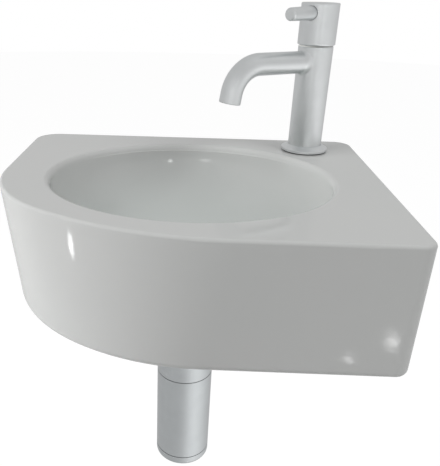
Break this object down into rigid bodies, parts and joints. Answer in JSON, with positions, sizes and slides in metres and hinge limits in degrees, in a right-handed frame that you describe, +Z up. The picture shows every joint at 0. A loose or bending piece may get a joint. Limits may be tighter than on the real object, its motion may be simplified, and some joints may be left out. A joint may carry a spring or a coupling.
{
  "type": "corner basin",
  "caption": "Compact wall-hung corner hand basin in glazed china with a single-lever pillar tap, strainer waste and bottle trap.",
  "frame": {"origin": "midway between the two wall fixing bolts, on the back face of the china where it meets the wall", "axes": "+X towards the side wall that the straight side stands against, +Y out of the back into the wall, +Z up"},
  "size_m": [0.3646, 0.355, 0.4843],
  "materials": {
    "glazed_china": null,
    "satin_metal": "satin chrome plated brass",
    "plated_brass": "bare machined brass",
    "zinc_steel": "zinc plated steel",
    "stainless": "polished stainless steel",
    "valve_ceramic": "lapped alumina ceramic",
    "black_rubber": "black rubber",
    "nylon": "natural nylon",
    "acetal": "white acetal",
    "trap_metal": "chrome plated brass trap, satin"
  },
  "bodies": {
    "basin_and_tap": {"basin": "glazed_china", "wall_bolts": "zinc_steel", "bolt_bushes": "nylon", "bolt_washers": "zinc_steel", "bolt_nuts": "zinc_steel", "flange_seal": "black_rubber", "tap_flange": "satin_metal", "tap_body": "satin_metal", "base_oring": "black_rubber", "spout": "satin_metal", "aerator_housing": "acetal", "aerator_insert": "acetal", "aerator_seal": "black_rubber", "threaded_tail": "plated_brass", "deck_washer": "black_rubber", "clamp_washer": "stainless", "tap_backnut": "plated_brass", "cartridge_seal": "black_rubber", "cartridge_housing": "plated_brass", "fixed_disc": "valve_ceramic", "glide_ring": "acetal", "waste_seal_top": "black_rubber", "waste_grate": "stainless", "waste_seal_bottom": "black_rubber", "waste_tail": "trap_metal", "waste_screw": "stainless", "inlet_seal": "black_rubber", "inlet_pipe": "trap_metal", "inlet_nut": "trap_metal", "neck_nut": "trap_metal", "neck_seal": "black_rubber", "trap_head": "trap_metal", "head_seal": "black_rubber", "trap_bottle": "trap_metal", "cup_seal": "black_rubber", "trap_cup": "trap_metal", "outlet_pipe": "trap_metal", "outlet_seal": "black_rubber", "outlet_nut": "trap_metal", "wall_rosette": "trap_metal"},
    "tap_handle": {"handle": "satin_metal", "lever_pin": "satin_metal", "handle_screw": "stainless", "spindle": "plated_brass", "moving_disc": "valve_ceramic", "spindle_clip": "stainless", "spindle_seal": "black_rubber"}
  },
  "joints": [
    {"name": "handle_turn", "type": "hinge", "parent": "basin_and_tap", "child": "tap_handle", "pos_m": [0.125, -0.0415, 0.1764], "axis": [0, 0, 1], "range_deg": [-22.4, 67.6]}
  ]
}
